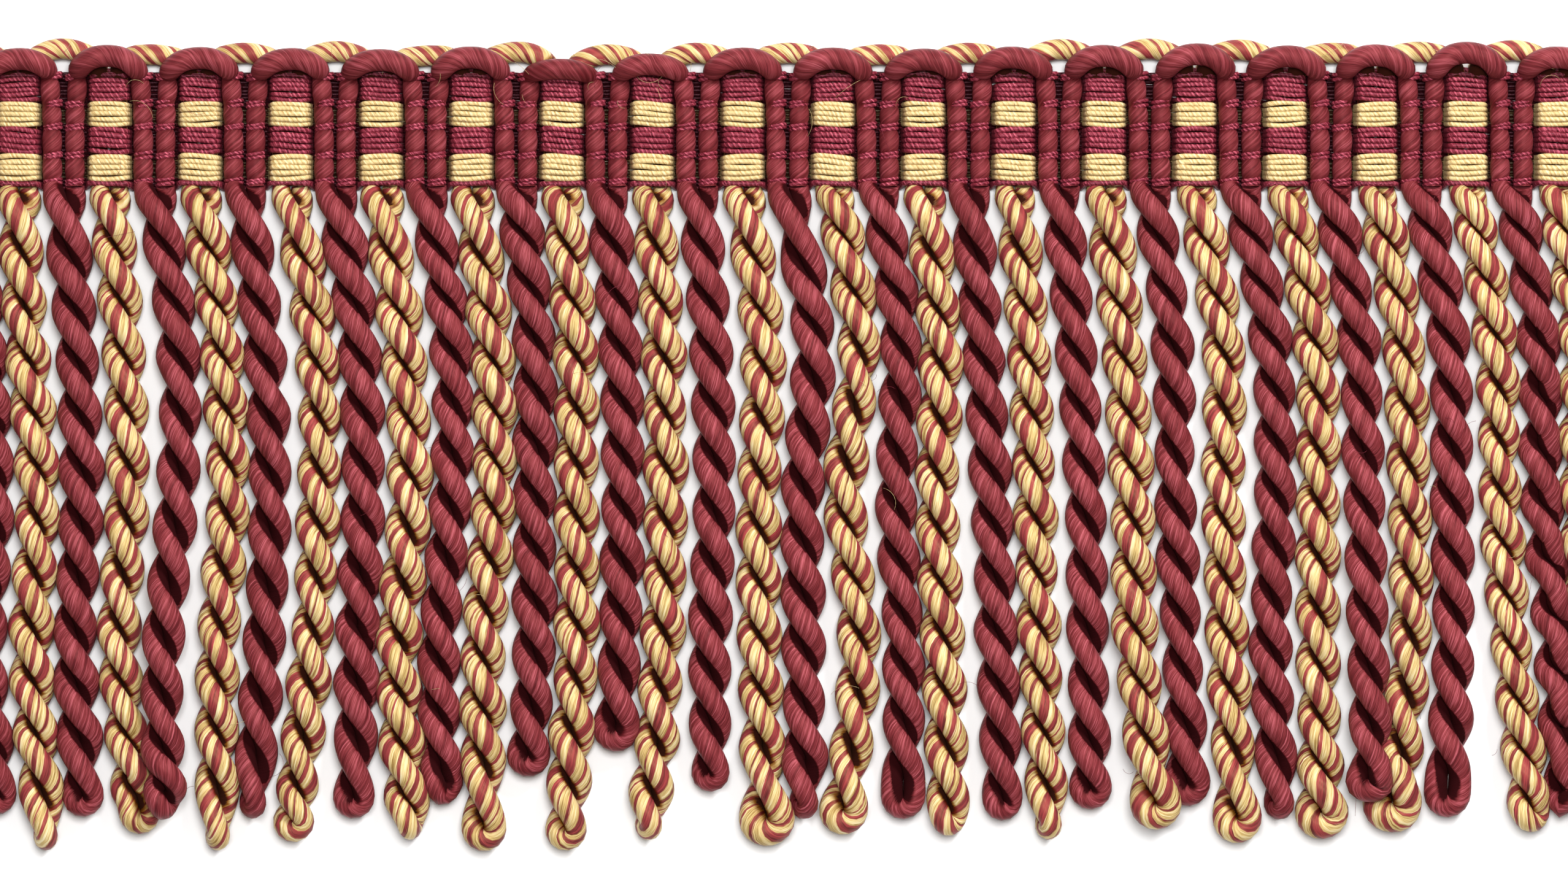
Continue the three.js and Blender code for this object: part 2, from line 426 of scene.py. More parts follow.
class LayGroup:
    """Shader group for fibres or plies wound round a cord, from the cord's own map."""

    _built: bpy.types.NodeTree | None = None

    @classmethod
    def tree(cls) -> bpy.types.NodeTree:
        """The group, built the first time it is asked for.

        Returns:
            The group, one for all the finishes.
        """
        if cls._built is None:
            cls._built = cls._build()
        return cls._built

    @staticmethod
    def _build() -> bpy.types.NodeTree:
        """Builds the group.

        Returns:
            The group. It puts out how far round its own lay a point is, and two sizes of fibre streak.
        """
        tree = bpy.data.node_groups.new("wound_fibre", "ShaderNodeTree")
        face = tree.interface
        face.new_socket("Map", in_out="INPUT", socket_type="NodeSocketVector")
        for name, value in (("Lay", 14.0), ("Fibres", 90.0), ("Stretch", 0.45), ("Wander", 0.03)):
            face.new_socket(name, in_out="INPUT", socket_type="NodeSocketFloat").default_value = value
        for name in ("Turn", "Fibre", "Bundle"):
            face.new_socket(name, in_out="OUTPUT", socket_type="NodeSocketFloat")
        kit = NodeKit(tree)
        given = kit.add("NodeGroupInput")
        parts = kit.add("ShaderNodeSeparateXYZ", {0: given.outputs["Map"]})
        around, along = parts.outputs[0], parts.outputs[1]
        slow = kit.math("MULTIPLY", along, 0.22)
        drift = kit.add("ShaderNodeTexNoise", {"W": slow, "Scale": 1.0}, noise_dimensions="1D")
        wander = kit.math("MULTIPLY", kit.math("SUBTRACT", drift.outputs[0], 0.5), given.outputs["Wander"])
        laid = kit.math("DIVIDE", along, given.outputs["Lay"])
        turn = kit.math("ADD", kit.math("SUBTRACT", around, laid), wander)
        angle = kit.math("MULTIPLY", turn, math.tau)
        reach = kit.math("DIVIDE", given.outputs["Fibres"], math.tau)
        place = kit.add(
            "ShaderNodeCombineXYZ",
            {
                0: kit.math("MULTIPLY", kit.math("COSINE", angle), reach),
                1: kit.math("MULTIPLY", kit.math("SINE", angle), reach),
                2: kit.math("MULTIPLY", along, given.outputs["Stretch"]),
            },
        ).outputs[0]
        noise = {"Vector": place, "Detail": 2.0}
        fine = kit.add("ShaderNodeTexNoise", {**noise, "Scale": 1.0, "Roughness": 0.6})
        coarse = kit.add("ShaderNodeTexNoise", {**noise, "Scale": 0.3, "Roughness": 0.5})
        kit.add("NodeGroupOutput", {0: kit.math("FRACT", turn), 1: fine.outputs[0], 2: coarse.outputs[0]})
        return tree


@dataclass(frozen=True)
class WoundFinish:
    """What the finishes of the cords and the yarns share."""

    name: str
    glint: Colour
    lay: float
    relief: float
    roughness: float

    def _begin(self, **feeds: float) -> tuple[bpy.types.Material, NodeKit, list[bpy.types.NodeSocket]]:
        """Starts the material on the cord's own map.

        Args:
            feeds: what the group for wound fibres is given besides the lay.

        Returns:
            The material, its kit, and the group's outputs.
        """
        material = bpy.data.materials.new(self.name)
        material.use_nodes = True
        material.node_tree.nodes.clear()
        kit = NodeKit(material.node_tree)
        cord_map = kit.add("ShaderNodeUVMap", uv_map="cord_uv").outputs[0]
        feeds = {"Map": cord_map, "Lay": self.lay, **feeds}
        wound = kit.add("ShaderNodeGroup", feeds, node_tree=LayGroup.tree())
        return material, kit, [wound.outputs[k] for k in range(3)]

    def _end(self, kit: NodeKit, strength: float, height: object, feeds: dict) -> None:
        """Ends the material with its bump and its shader.

        Args:
            kit: the material's kit.
            strength: how strongly the bump shows.
            height: the bump's height.
            feeds: the shader's colour, roughness and specular level.
        """
        relief = {"Strength": strength, "Distance": self.relief * MM, "Height": height}
        bump = kit.add("ShaderNodeBump", relief).outputs[0]
        feeds = {**feeds, "Normal": bump, "Specular Tint": linear(self.glint)}
        shader = kit.add("ShaderNodeBsdfPrincipled", feeds)
        kit.add("ShaderNodeOutputMaterial", {0: shader.outputs[0]})


@dataclass(frozen=True)
class CordFinish(WoundFinish):
    """Lustrous fibre wound round a soft cord, plain or striped, with shade painted where its plies meet and
    where it lies under stitches or another cord.
    """

    dark: Colour
    mid: Colour
    light: Colour
    # Painted shade where the plies meet or the cord lies under other parts: this colour is multiplied in, and
    # the next one, near black, is laid over the deepest part.
    shadow: Colour
    painted_shade: Colour
    # Where the mask of painted shade starts and ends those two colours.
    shadow_edges: Span
    painted_shade_edges: Span
    stripe: Colour | None = None
    stripe_edges: tuple[float, ...] = ()
    fibres: float = 58.0

    def material(self) -> bpy.types.Material:
        """Builds the finish.

        Returns:
            The material, which reads the cord's own map.
        """
        material, kit, (turn, fibre, bundle) = self._begin(Fibres=self.fibres)
        streak = kit.math("ADD", kit.math("MULTIPLY", fibre, 0.55), kit.math("MULTIPLY", bundle, 0.45))
        shade = kit.blend(kit.spread(streak, 0.38, 0.51, 0, 1), linear(self.dark), linear(self.mid))
        shade = kit.blend(kit.spread(streak, 0.51, 0.65, 0, 1), shade, linear(self.light))
        if self.stripe:
            frayed = kit.math("ADD", turn, kit.spread(fibre, 0.3, 0.7, -0.018, 0.018))
            shade = kit.blend(self._stripes(kit, frayed), shade, self._stripe_shade(kit, streak))
        tone = kit.add("ShaderNodeAttribute", attribute_name="tone").outputs["Fac"]
        level = kit.math("ADD", tone, 1.0)
        shade = kit.add("ShaderNodeHueSaturation", {"Value": level, "Color": shade}).outputs[0]
        # Painted shade: the stored mask, frayed by fibre noise, multiplies in the shadow colour and then lays
        # on the near-black colour.
        inner = kit.add("ShaderNodeAttribute", attribute_name="painted_shade").outputs["Fac"]
        ragged_shade_mask = kit.math("ADD", inner, kit.spread(fibre, 0.3, 0.7, -0.1, 0.1))
        painted_shadow_mask = kit.spread(ragged_shade_mask, *self.shadow_edges, 0, 1)
        shade = kit.blend(painted_shadow_mask, shade, linear(self.shadow), "MULTIPLY")
        deep = kit.spread(ragged_shade_mask, *self.painted_shade_edges, 0, 1)
        shade = kit.blend(deep, shade, linear(self.painted_shade))
        height = kit.math("ADD", kit.math("MULTIPLY", fibre, 0.5), bundle)
        rough = kit.spread(fibre, 0.3, 0.7, self.roughness - 0.08, self.roughness + 0.12)
        rough = kit.math("MAXIMUM", kit.math("MULTIPLY", deep, 0.95), rough)
        self._end(kit, 0.9, height, {"Base Color": shade, "Roughness": rough, "Specular IOR Level": 0.25})
        return material

    def _stripes(self, kit: NodeKit, turn: bpy.types.NodeSocket) -> bpy.types.NodeSocket:
        """Masks the stripes, from pairs of edges round the cord.

        Args:
            kit: the material's kit.
            turn: how far round its own lay a point is.

        Returns:
            1 on the stripes and 0 between them.
        """
        mask: object = 0.0
        for start, end in zip(self.stripe_edges[::2], self.stripe_edges[1::2]):
            middle, half = (start + end) / 2, (end - start) / 2
            away = kit.math("ABSOLUTE", kit.math("SUBTRACT", turn, middle))
            mask = kit.math("ADD", mask, kit.spread(away, half - 0.008, half + 0.008, 1, 0))
        return mask

    def _stripe_shade(self, kit: NodeKit, streak: bpy.types.NodeSocket) -> bpy.types.NodeSocket:
        """Streaks the stripes' colour.

        Args:
            kit: the material's kit.
            streak: the fibre streaks.

        Returns:
            The stripes' colour.
        """
        deep = tuple(0.72 * c for c in self.stripe)
        glint = tuple(min(255, 1.28 * c) for c in self.stripe)
        return kit.blend(kit.spread(streak, 0.38, 0.66, 0, 1), linear(deep), linear(glint))


@dataclass(frozen=True)
class YarnFinish(WoundFinish):
    """Fine two-ply yarn with a soft glint, random fibre tone, painted shade in the grooves between its plies
    and a painted highlight on their crowns.
    """

    # The darkest and the light colour are partly random fibre tone, partly painted shade in the grooves and
    # painted highlight on the ply crowns; the deep colour is painted shade.
    dark_fibre_and_groove_shade: Colour
    mid: Colour
    light: Colour
    deep: Colour
    plies: int = 2

    def material(self) -> bpy.types.Material:
        """Builds the finish.

        Returns:
            The material, which reads the yarn's own map.
        """
        material, kit, (turn, fibre, _) = self._begin(Fibres=12.0, Stretch=1.1, Wander=0.5)
        # The ply crowns are painted lighter and the grooves darker, as highlight and shade, mixed with random
        # fibre tone.
        wave = kit.math("SINE", kit.math("MULTIPLY", turn, math.tau * self.plies))
        crown = kit.math("MULTIPLY_ADD", wave, 0.5, 0.5)
        mixed = kit.math("ADD", kit.math("MULTIPLY", crown, 0.2), fibre)
        shade = kit.blend(kit.spread(mixed, 0.38, 0.58, 0, 1), linear(self.dark_fibre_and_groove_shade), linear(self.mid))
        shade = kit.blend(kit.spread(mixed, 0.64, 0.8, 0, 1), shade, linear(self.light))
        # Painted shade, toward the deep colour, where the yarn passes behind or under other parts.
        inner = kit.add("ShaderNodeAttribute", attribute_name="painted_shade").outputs["Fac"]
        shade = kit.blend(kit.spread(inner, 0.1, 0.6, 0, 1), shade, linear(self.deep))
        height = kit.math("MULTIPLY_ADD", fibre, 1.5, kit.math("MULTIPLY", crown, 0.6))
        rough = kit.spread(fibre, 0.3, 0.7, self.roughness - 0.1, self.roughness + 0.1)
        self._end(kit, 1.0, height, {"Base Color": shade, "Roughness": rough, "Specular IOR Level": 0.35})
        return material


class Finish(Enum):
    """The trim's finishes, one for each material slot of the record."""

    BURGUNDY_CORD = CordFinish(
        "burgundy_cord",
        dark=(76, 24, 28),
        mid=(110, 41, 45),
        light=(160, 80, 88),
        # The next two colours are painted shade where the plies meet or the cord lies under other parts.
        shadow=(160, 100, 110),
        painted_shade=(30, 2, 4),
        glint=(255, 150, 150),
        lay=9.0,
        relief=0.1,
        roughness=0.46,
        shadow_edges=(0.0, 0.16),
        painted_shade_edges=(0.16, 0.24),
    )
    GOLD_CORD = CordFinish(
        "gold_cord",
        dark=(134, 104, 56),
        mid=(190, 164, 108),
        light=(216, 202, 162),
        # The next two colours are painted shade where the plies meet or the cord lies under other parts.
        shadow=(160, 112, 50),
        painted_shade=(36, 4, 4),
        glint=(255, 220, 160),
        lay=10.5,
        relief=0.1,
        roughness=0.42,
        shadow_edges=(0.04, 0.36),
        painted_shade_edges=(0.36, 0.5),
        stripe=(122, 48, 50),
        stripe_edges=(0.0, 0.08, 0.27, 0.46, 0.595, 0.7, 0.8, 0.84),
    )
    BURGUNDY_YARN = YarnFinish(
        "burgundy_yarn",
        # The darkest, lightest and last colours are partly or wholly painted shade and painted highlight.
        dark_fibre_and_groove_shade=(62, 10, 20),
        mid=(110, 34, 46),
        light=(182, 86, 102),
        deep=(26, 2, 4),
        glint=(255, 170, 190),
        lay=1.7,
        relief=0.045,
        roughness=0.42,
    )
    GOLD_YARN = YarnFinish(
        "gold_yarn",
        # The darkest, lightest and last colours are partly or wholly painted shade and painted highlight.
        dark_fibre_and_groove_shade=(158, 124, 70),
        mid=(198, 172, 120),
        light=(226, 208, 162),
        deep=(34, 8, 4),
        glint=(255, 240, 200),
        lay=1.7,
        relief=0.045,
        roughness=0.42,
    )


class Rack:
    """Keeps one material for each finish."""

    def __init__(self) -> None:
        """Builds every finish once."""
        self.materials = {finish: finish.value.material() for finish in Finish}

    def dress(self, piece: bpy.types.Object, finish: Finish, nodes: tuple[str, ...] = ()) -> None:
        """Hangs a piece on the root body, and hides the CAD nodes that it stands for.

        Args:
            piece: the finished piece.
            finish: its finish; not used.
            nodes: CAD nodes that it replaces.
        """
        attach(piece, "root")
        if nodes:
            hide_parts(*nodes)


# ------------------------------------------------------------------ strands


@dataclass(frozen=True)
class Ply:
    """How one of the two cords is twisted into strands."""

    radius: float
    closeness: float
    leg_radius: float
    leg_offset: float
    leg_height: float
    tip_radius: float
    # Painted shade between the plies: where along the twist it is laid, how strong it is there, and how far
    # it reaches up the rear ply.
    eye: Span
    eye_shade: float
    eye_shade_rise: float = 0.0


# Both plies' eye settings set the painted shade between the plies.
BURGUNDY_PLY = Ply(
    radius=2.12, closeness=0.97, leg_radius=1.85, leg_offset=2.09, leg_height=2.82,
    tip_radius=2.1, eye=(0.34, 0.7), eye_shade=1.7, eye_shade_rise=0.13,
)
GOLD_PLY = Ply(
    radius=2.2, closeness=0.98, leg_radius=1.6, leg_offset=1.8, leg_height=2.3,
    tip_radius=2.2, eye=(0.57, 0.87), eye_shade=1.1,
)


@dataclass(frozen=True)
class StrandReading:
    """One strand as it lies: how far it sways right of its root, its turns, and the loop at its tip."""

    high: float
    middle: float
    low: float
    end: float
    tip: float
    first_eye: float
    last_eye: float
    half_turns: int
    tip_width: float
    lift: float = 0.0


BURGUNDY_READINGS = [
    StrandReading(*row)
    for row in (
        (2.3, 3.8, 2.3, 4.8, -69.4, 37.4, -54.5, 9, 7.5),
        (2.4, 3.4, 2.2, 3.9, -69.8, 35.7, -54.3, 9, 8.1),
        (4.5, 4.5, 2.0, 2.0, -70.2, 37.5, -56.5, 9, 5.5, 3.0),
        (3.4, 4.8, 3.7, 1.3, -70.1, 37.0, -57.5, 9, 5.7),
        (4.3, 5.3, 4.5, 3.4, -70.1, 37.0, -54.3, 9, 8.1),
        (4.8, 4.9, 2.6, 3.1, -67.6, 37.0, -59.6, 10, 7.3),
        (3.4, 3.4, 3.4, 2.1, -62.3, 39.7, -48.5, 9, 8.5),
        (2.5, 3.1, 2.5, 1.7, -57.6, 37.8, -41.2, 8, 9.2),
        (2.5, 3.2, 2.4, 2.5, -65.1, 37.0, -51.9, 9, 7.6),
        (4.8, 2.8, 3.0, 3.0, -70.2, 32.8, -58.3, 9, 6.0),
        (4.2, 3.3, 4.7, 4.6, -70.2, 38.6, -61.6, 10, 8.5),
        (2.4, 4.2, 5.3, 6.4, -70.5, 36.0, -55.1, 9, 7.5),
        (2.9, 4.8, 5.3, 5.9, -68.4, 37.8, -55.1, 9, 8.3),
        (4.1, 4.7, 5.9, 7.1, -67.8, 38.6, -51.9, 9, 9.0),
        (5.6, 6.5, 5.6, 7.4, -70.3, 39.4, -57.5, 10, 6.1),
        (5.0, 6.1, 6.7, 7.6, -67.1, 39.4, -51.9, 9, 9.2, 3.0),
        (5.0, 5.6, 5.9, 4.6, -69.9, 40.2, -61.6, 10, 9.0),
        (5.2, 5.8, 8.7, 9.6, -70.0, 40.2, -51.9, 9, 8.0),
        (2.5, 2.5, 3.5, 4.0, -70.0, 40.2, -61.6, 10, 8.5),
    )
]
GOLD_READINGS = [
    StrandReading(*row)
    for row in (
        (1.4, 3.8, 2.6, 5.5, -76.0, 36.4, -63.7, 10, 5.2),
        (2.7, 3.6, 2.0, 6.4, -73.0, 37.5, -64.4, 10, 7.8),
        (4.1, 5.5, 3.6, 3.5, -76.0, 37.0, -63.2, 10, 5.2),
        (5.0, 5.5, 4.2, 0.3, -74.5, 34.9, -64.0, 10, 8.1),
        (4.1, 5.6, 3.3, 5.9, -74.0, 35.2, -55.9, 9, 4.6),
        (3.8, 4.4, 2.4, 2.5, -76.2, 34.4, -58.3, 10, 8.7),
        (2.6, 2.8, 2.9, 0.6, -76.1, 37.0, -53.5, 9, 8.1),
        (2.0, 2.6, 2.0, -0.9, -74.1, 37.0, -55.1, 9, 5.7),
        (3.8, 3.1, 3.2, 4.8, -75.2, 35.2, -55.9, 9, 10.6),
        (4.9, 2.2, 4.9, 1.4, -73.1, 39.4, -56.7, 9, 9.4),
        (3.1, 2.5, 3.6, 4.8, -73.3, 35.2, -55.9, 9, 6.9),
        (2.6, 3.8, 4.6, 6.6, -74.0, 35.7, -63.2, 10, 5.4),
        (3.4, 5.1, 5.7, 10.1, -72.0, 36.0, -54.3, 9, 9.8, 3.0),
        (5.1, 5.2, 6.0, 8.1, -74.7, 37.8, -55.9, 9, 9.4),
        (5.5, 6.0, 6.0, 6.8, -73.9, 38.9, -51.0, 9, 10.2),
        (4.9, 6.1, 6.3, 2.2, -72.6, 38.6, -56.7, 9, 11.1),
        (5.3, 6.2, 8.2, 12.6, -72.6, 40.2, -57.5, 10, 6.9),
        (4.5, 4.5, 6.0, 6.5, -73.0, 40.2, -57.5, 10, 8.0),
    )
]


@dataclass
class BullionStrand:
    """One strand: its cord goes down, round the loop at the tip and back up, and is twisted on itself.

    Lengths are in millimetres. Where one shape passes into another, the field is the height it takes.
    """

    ply: Ply
    root: float
    reading: StrandReading
    seed: int
    levels: tuple[float, float, float] = (20.0, -9.0, -37.0)
    natural_half_turn: float = 10.1
    rows: int = 420
    bend_rows: int = 26
    gather: float = 2.4
    opening: float = 9.0
    climb: float = 6.0
    lift_below: float = 8.0
    lift_over: float = 45.0
    held_above: float = 42.0
    held_over: float = 4.0
    floor_gap: float = 0.02
    # Painted shade where the plies cross, and how much of the painted shade fades toward the tip's loop.
    closed_shade: float = 0.06
    tip_fade: float = 0.66

    def run(self) -> Run:
        """The strand's cord from one side of the heading's foot to the other.

        Returns:
            The run, with its radius and how firmly the heading holds it.
        """
        ply, r = self.ply, self.reading
        loop, swell, lean = self._loop()
        drop = loop * (1 - 0.7 * lean)
        start = r.tip + drop + swell
        y = np.linspace(FOOT, start, self.rows)
        half_turns = self._half_turns(y, start, lean)
        thick = self._thickness(y, start, swell)
        spread = ply.leg_offset + (ply.closeness * thick - ply.leg_offset) * ease((FOOT - y) / self.gather)
        spread = spread + (loop - spread) * ease((start + self.opening - y) / self.opening)
        centre_x = self.root + self._sway(y)
        tall = (1 + ply.closeness) * ply.radius + self.floor_gap
        centre_z = ply.leg_height + (tall - ply.leg_height) * ease((FOOT - y) / self.climb)
        centre_z = centre_z + r.lift * ease((self.lift_below - y) / self.lift_over)
        down = self._stretch(y, centre_x, centre_z, spread, math.pi * (1 - half_turns))
        up = self._stretch(y, centre_x, centre_z, spread, -math.pi * half_turns)
        bend = np.linspace(0, math.pi, self.bend_rows)[1:-1]
        last = math.pi * (1 - half_turns[-1])
        side, fall = np.array([math.cos(last), 0, math.sin(last)]), np.array([0, drop, 0])
        middle = np.array([centre_x[-1], start, centre_z[-1]])
        turn = middle + loop * np.cos(bend)[:, None] * side - fall * np.sin(bend)[:, None]
        points = np.concatenate([down, turn, up[::-1]])
        radius = np.concatenate([thick, np.full(len(bend), swell), thick[::-1]])
        held = np.clip((points[:, 1] - self.held_above) / self.held_over, 0, 1)
        # Arrows toward the other ply: shade is painted on the faces that look along them, as strongly as they
        # are long.
        axis = np.stack([centre_x, y, centre_z], axis=1)
        painted_shade_arrow = np.concatenate([axis - down, middle - turn, (axis - up)[::-1]])
        painted_shade_arrow /= np.linalg.norm(painted_shade_arrow, axis=1)[:, None]
        painted_shade_arrow[:, 2] += ply.eye_shade_rise
        painted_shade_arrow *= self._eye_shade_strength(painted_shade_arrow, points[:, 1], start)[:, None]
        run = Run(points, radius, held, painted_shade_arrow).spaced(FINE_STEP)
        run.points = smoothed(run.points, 8)
        rng = np.random.default_rng(self.seed)
        run.lay_start, run.tone = rng.uniform(0, 60), rng.uniform(-0.05, 0.05)
        return run

    def _loop(self) -> tuple[float, float, float]:
        """Shapes the loop at the tip.

        Returns:
            The loop's radius, the cord's radius there, and how far the loop is turned, in half turns.
        """
        width = self.reading.tip_width
        swell = min(max(0.25 * width, self.ply.tip_radius - 0.15), self.ply.tip_radius + 0.6)
        loop = max(width / 2 - swell, swell * 0.98)
        shown = min(1.0, max(0.0, (width / 2 - swell) / loop))
        return loop, swell, math.acos(shown) / math.pi

    def _eye_shade_strength(self, painted_shade_arrow: np.ndarray, y: np.ndarray, start: float) -> np.ndarray:
        """How strongly shade is painted on the side that faces the other ply.

        Args:
            painted_shade_arrow: which way the other ply lies, at each point.
            y: the points' heights.
            start: the height where the tip's loop starts.

        Returns:
            The strength of the painted shade: most where the plies lie side by side, and less at both ends.
        """
        low, high = self.ply.eye
        side_by_side = ease((np.abs(painted_shade_arrow[:, 0]) - low) / (high - low))
        shade_strength = self.closed_shade + self.ply.eye_shade * side_by_side
        return shade_strength * (1 - self.tip_fade * ease((start + 4 - y) / 4)) * ease((FOOT + 0.3 - y) / 3.2)

    def _half_turns(self, y: np.ndarray, start: float, lean: float) -> np.ndarray:
        """Counts the twist down the strand.

        Args:
            y: the heights.
            start: the height where the tip's loop starts.
            lean: how far the loop is turned, in half turns.

        Returns:
            Half turns made since the foot, at each height.
        """
        r = self.reading
        full = 1 + r.half_turns
        natural = full + (r.last_eye - start) / self.natural_half_turn
        options = [full + k + side * lean for k in (0, 1, 2) for side in (-1, 1) if k or side > 0]
        last = min(options, key=lambda n: abs(n - natural))
        even = np.interp(y, [start, r.last_eye, r.first_eye, FOOT], [last, full, 1, 0])
        return smoothed(even, 45)

    def _sway(self, y: np.ndarray) -> np.ndarray:
        """How far right of its root the strand is at each height."""
        r = self.reading
        return through([r.tip, *self.levels[::-1], FOOT], [r.end, r.low, r.middle, r.high, 0], y)

    def _thickness(self, y: np.ndarray, start: float, swell: float) -> np.ndarray:
        """How thick the cord is down the strand.

        Args:
            y: the heights.
            start: the height where the tip's loop starts.
            swell: the cord's radius in the loop.

        Returns:
            The radius: narrow under the binding, full below, and its own at the tip.
        """
        rng = np.random.default_rng(self.seed + 500)
        wave = ripple(rng, y, (0.01, 0.025), (2, 7), 3)
        full = self.ply.radius * (rng.uniform(0.97, 1.03) + wave)
        full = self.ply.leg_radius + (full - self.ply.leg_radius) * ease((FOOT - y) / 2.2)
        return full + (swell - full) * ease((start + 7 - y) / 7)

    @staticmethod
    def _stretch(
        y: np.ndarray, x: np.ndarray, z: np.ndarray, spread: np.ndarray, angle: np.ndarray
    ) -> np.ndarray:
        """Points of one stretch that turns round the strand's middle."""
        return np.stack([x + spread * np.cos(angle), y, z + spread * np.sin(angle)], axis=1)


@dataclass
class Nestling:
    """Lets cords that were laid too close press apart, as soft cords do on a floor."""

    rounds: int = 70
    give: float = 0.95
    reach: float = 1.3
    stride: float = 1.4
    homeward: tuple[float, float, float] = (0.02, 0.02, 0.01)
    same_bend: float = 6.0

    def settle(self, runs: list[Run]) -> None:
        """Moves the runs' points until they only touch.

        Args:
            runs: all the cords. Their points are moved in place.
        """
        points = np.concatenate([run.points for run in runs])
        radius = np.concatenate([run.radius for run in runs])
        free = 1 - np.concatenate([run.held for run in runs])[:, None]
        owner = np.concatenate([np.full(len(run.points), k) for k, run in enumerate(runs)])
        along = np.concatenate([run.lengths() for run in runs])
        a, b = self._pairs(points, radius, owner, along)
        room = (radius[a] + radius[b]) * self.give
        home, count = points.copy(), len(points)
        starts = np.cumsum([0] + [len(run.points) for run in runs])
        inside = np.ones(count, bool)
        inside[starts[:-1]] = inside[starts[1:] - 1] = False
        inner = np.flatnonzero(inside)
        for _ in range(self.rounds):
            apart = points[b] - points[a]
            far = np.linalg.norm(apart, axis=1)
            deep = np.maximum(room - far, 0)
            push = apart * (deep / np.maximum(far, 1e-6) * 0.5)[:, None]
            hits = np.bincount(a, deep > 0, count) + np.bincount(b, deep > 0, count)
            pushed = [np.bincount(b, way, count) - np.bincount(a, way, count) for way in push.T]
            shift = np.stack(pushed, axis=1) / np.maximum(hits, 1)[:, None]
            shift *= self.stride * free
            for _ in range(3):
                shift[inner] = 0.25 * shift[inner - 1] + 0.5 * shift[inner] + 0.25 * shift[inner + 1]
            points += shift
            points += (home - points) * np.array(self.homeward) * free
            points[:, 2] = np.maximum(points[:, 2], radius * 0.99)
        left = np.maximum(room - np.linalg.norm(points[b] - points[a], axis=1), 0)
        moved = np.abs(points - home).max()
        LOG.info("cords settled: deepest press left %.2f mm, furthest move %.2f mm", left.max(), moved)
        for run, first, last in zip(runs, starts[:-1], starts[1:]):
            run.points = points[first:last]

    def _pairs(
        self, points: np.ndarray, radius: np.ndarray, owner: np.ndarray, along: np.ndarray
    ) -> tuple[np.ndarray, np.ndarray]:
        """Finds the pairs of points on different stretches that are close enough to meet.

        Args:
            points: all the cords' points.
            radius: the cord's radius at each.
            owner: the number of the cord that each belongs to.
            along: how far along its cord each is.

        Returns:
            The two points' numbers, for every pair.
        """
        tree = kdtree.KDTree(len(points))
        for k, point in enumerate(points):
            tree.insert(point, k)
        tree.balance()
        widest = 2 * radius.max() + self.reach
        first, second = [], []
        for k, point in enumerate(points):
            for _, other, _ in tree.find_range(point, widest):
                if other > k:
                    first.append(k)
                    second.append(other)
        a, b = np.array(first), np.array(second)
        keep = (owner[a] != owner[b]) | (np.abs(along[a] - along[b]) > self.same_bend)
        return a[keep], b[keep]


# ------------------------------------------------------------------ heading


